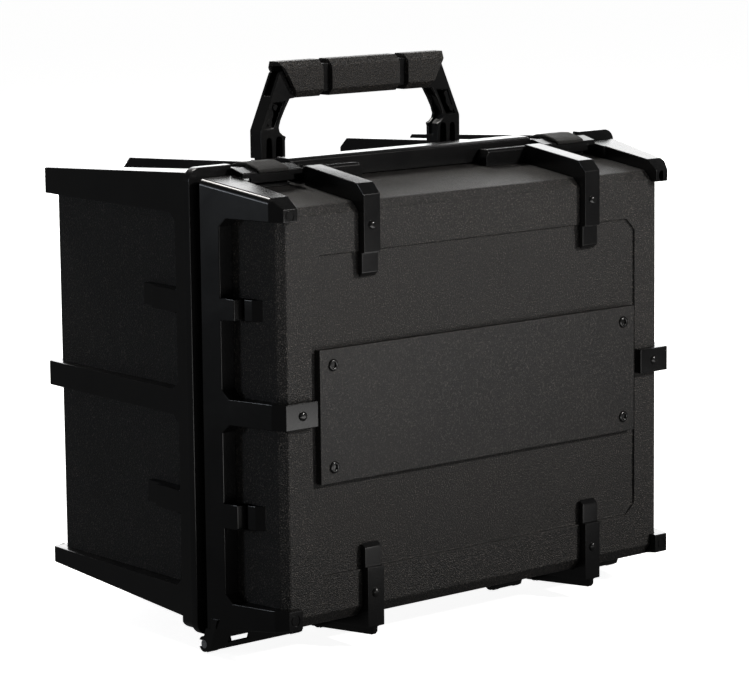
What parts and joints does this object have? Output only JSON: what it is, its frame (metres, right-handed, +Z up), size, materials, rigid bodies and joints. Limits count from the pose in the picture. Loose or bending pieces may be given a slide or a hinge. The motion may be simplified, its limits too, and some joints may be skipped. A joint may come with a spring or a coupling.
{
  "type": "miniature carry case",
  "caption": "Black plastic transport case with a hinged shallow lid, top latches, a folding handle and foam trays for gaming miniatures.",
  "frame": {"origin": "on the ground, under the middle of the closed case's bounding box", "axes": "+X to the right of someone facing the lid, +Y from the lid to the back, +Z up"},
  "size_m": [0.385, 0.2616, 0.378],
  "materials": {
    "grained_plastic": "fine grained black polypropylene, moulded",
    "smooth_plastic": "satin black polypropylene, moulded",
    "grip_plastic": "soft matt black, overmoulded",
    "steel": "plain drawn steel",
    "foam": "dark grey open-cell foam, cut by knife"
  },
  "bodies": {
    "base": {"base_shell": "grained_plastic", "base_rim": "smooth_plastic", "base_top_band_left": "smooth_plastic", "base_top_band_right": "smooth_plastic", "base_mid_band_left": "smooth_plastic", "base_mid_band_right": "smooth_plastic", "base_bottom_band_left": "smooth_plastic", "base_bottom_band_right": "smooth_plastic", "base_top_strap_left": "smooth_plastic", "base_top_strap_right": "smooth_plastic", "base_foot_strap_left": "smooth_plastic", "base_foot_strap_right": "smooth_plastic", "base_strap_rivets": "smooth_plastic", "top_beam": "smooth_plastic", "latch_bracket_left": "smooth_plastic", "latch_bracket_right": "smooth_plastic", "latch_pins": "steel", "handle_bracket_left": "smooth_plastic", "handle_bracket_right": "smooth_plastic", "handle_pins": "steel", "base_hinge_left": "smooth_plastic", "base_hinge_right": "smooth_plastic", "hinge_rods": "steel", "foam_tray_front": "foam", "foam_tray_middle": "foam", "foam_tray_back": "foam"},
    "lid": {"lid_shell": "grained_plastic", "lid_rim": "smooth_plastic", "lid_top_band_left": "smooth_plastic", "lid_top_band_right": "smooth_plastic", "lid_mid_band_left": "smooth_plastic", "lid_mid_band_right": "smooth_plastic", "lid_bottom_band_left": "smooth_plastic", "lid_bottom_band_right": "smooth_plastic", "lid_top_strap_left": "smooth_plastic", "lid_top_strap_right": "smooth_plastic", "lid_bottom_strap_left": "smooth_plastic", "lid_bottom_strap_right": "smooth_plastic", "lid_strap_rivets": "smooth_plastic", "label_plate": "smooth_plastic", "label_plate_rivets": "smooth_plastic", "lid_top_blocks": "smooth_plastic", "latch_strikes": "smooth_plastic", "lid_hinge_left": "smooth_plastic", "lid_hinge_right": "smooth_plastic", "lid_foam_pad": "foam"},
    "latch_left": {"latch_lever_left": "smooth_plastic", "latch_pad_left": "grip_plastic"},
    "latch_right": {"latch_lever_right": "smooth_plastic", "latch_pad_right": "grip_plastic"},
    "handle": {"handle_frame": "smooth_plastic", "handle_grip_left": "grip_plastic", "handle_grip_centre": "grip_plastic", "handle_grip_right": "grip_plastic"}
  },
  "joints": [
    {"name": "lid_hinge", "type": "hinge", "parent": "base", "child": "lid", "pos_m": [0, -0.0585, 0.0055], "axis": [1, 0, 0], "range_deg": [0, 100]},
    {"name": "latch_left_pivot", "type": "hinge", "parent": "base", "child": "latch_left", "pos_m": [-0.1344, -0.044, 0.3115], "axis": [-1, 0, 0], "range_deg": [0, 100]},
    {"name": "latch_right_pivot", "type": "hinge", "parent": "base", "child": "latch_right", "pos_m": [0.1344, -0.044, 0.3115], "axis": [-1, 0, 0], "range_deg": [0, 100]},
    {"name": "handle_fold", "type": "hinge", "parent": "base", "child": "handle", "pos_m": [0, 0.003, 0.306], "axis": [-1, 0, 0], "range_deg": [0, 90]}
  ]
}
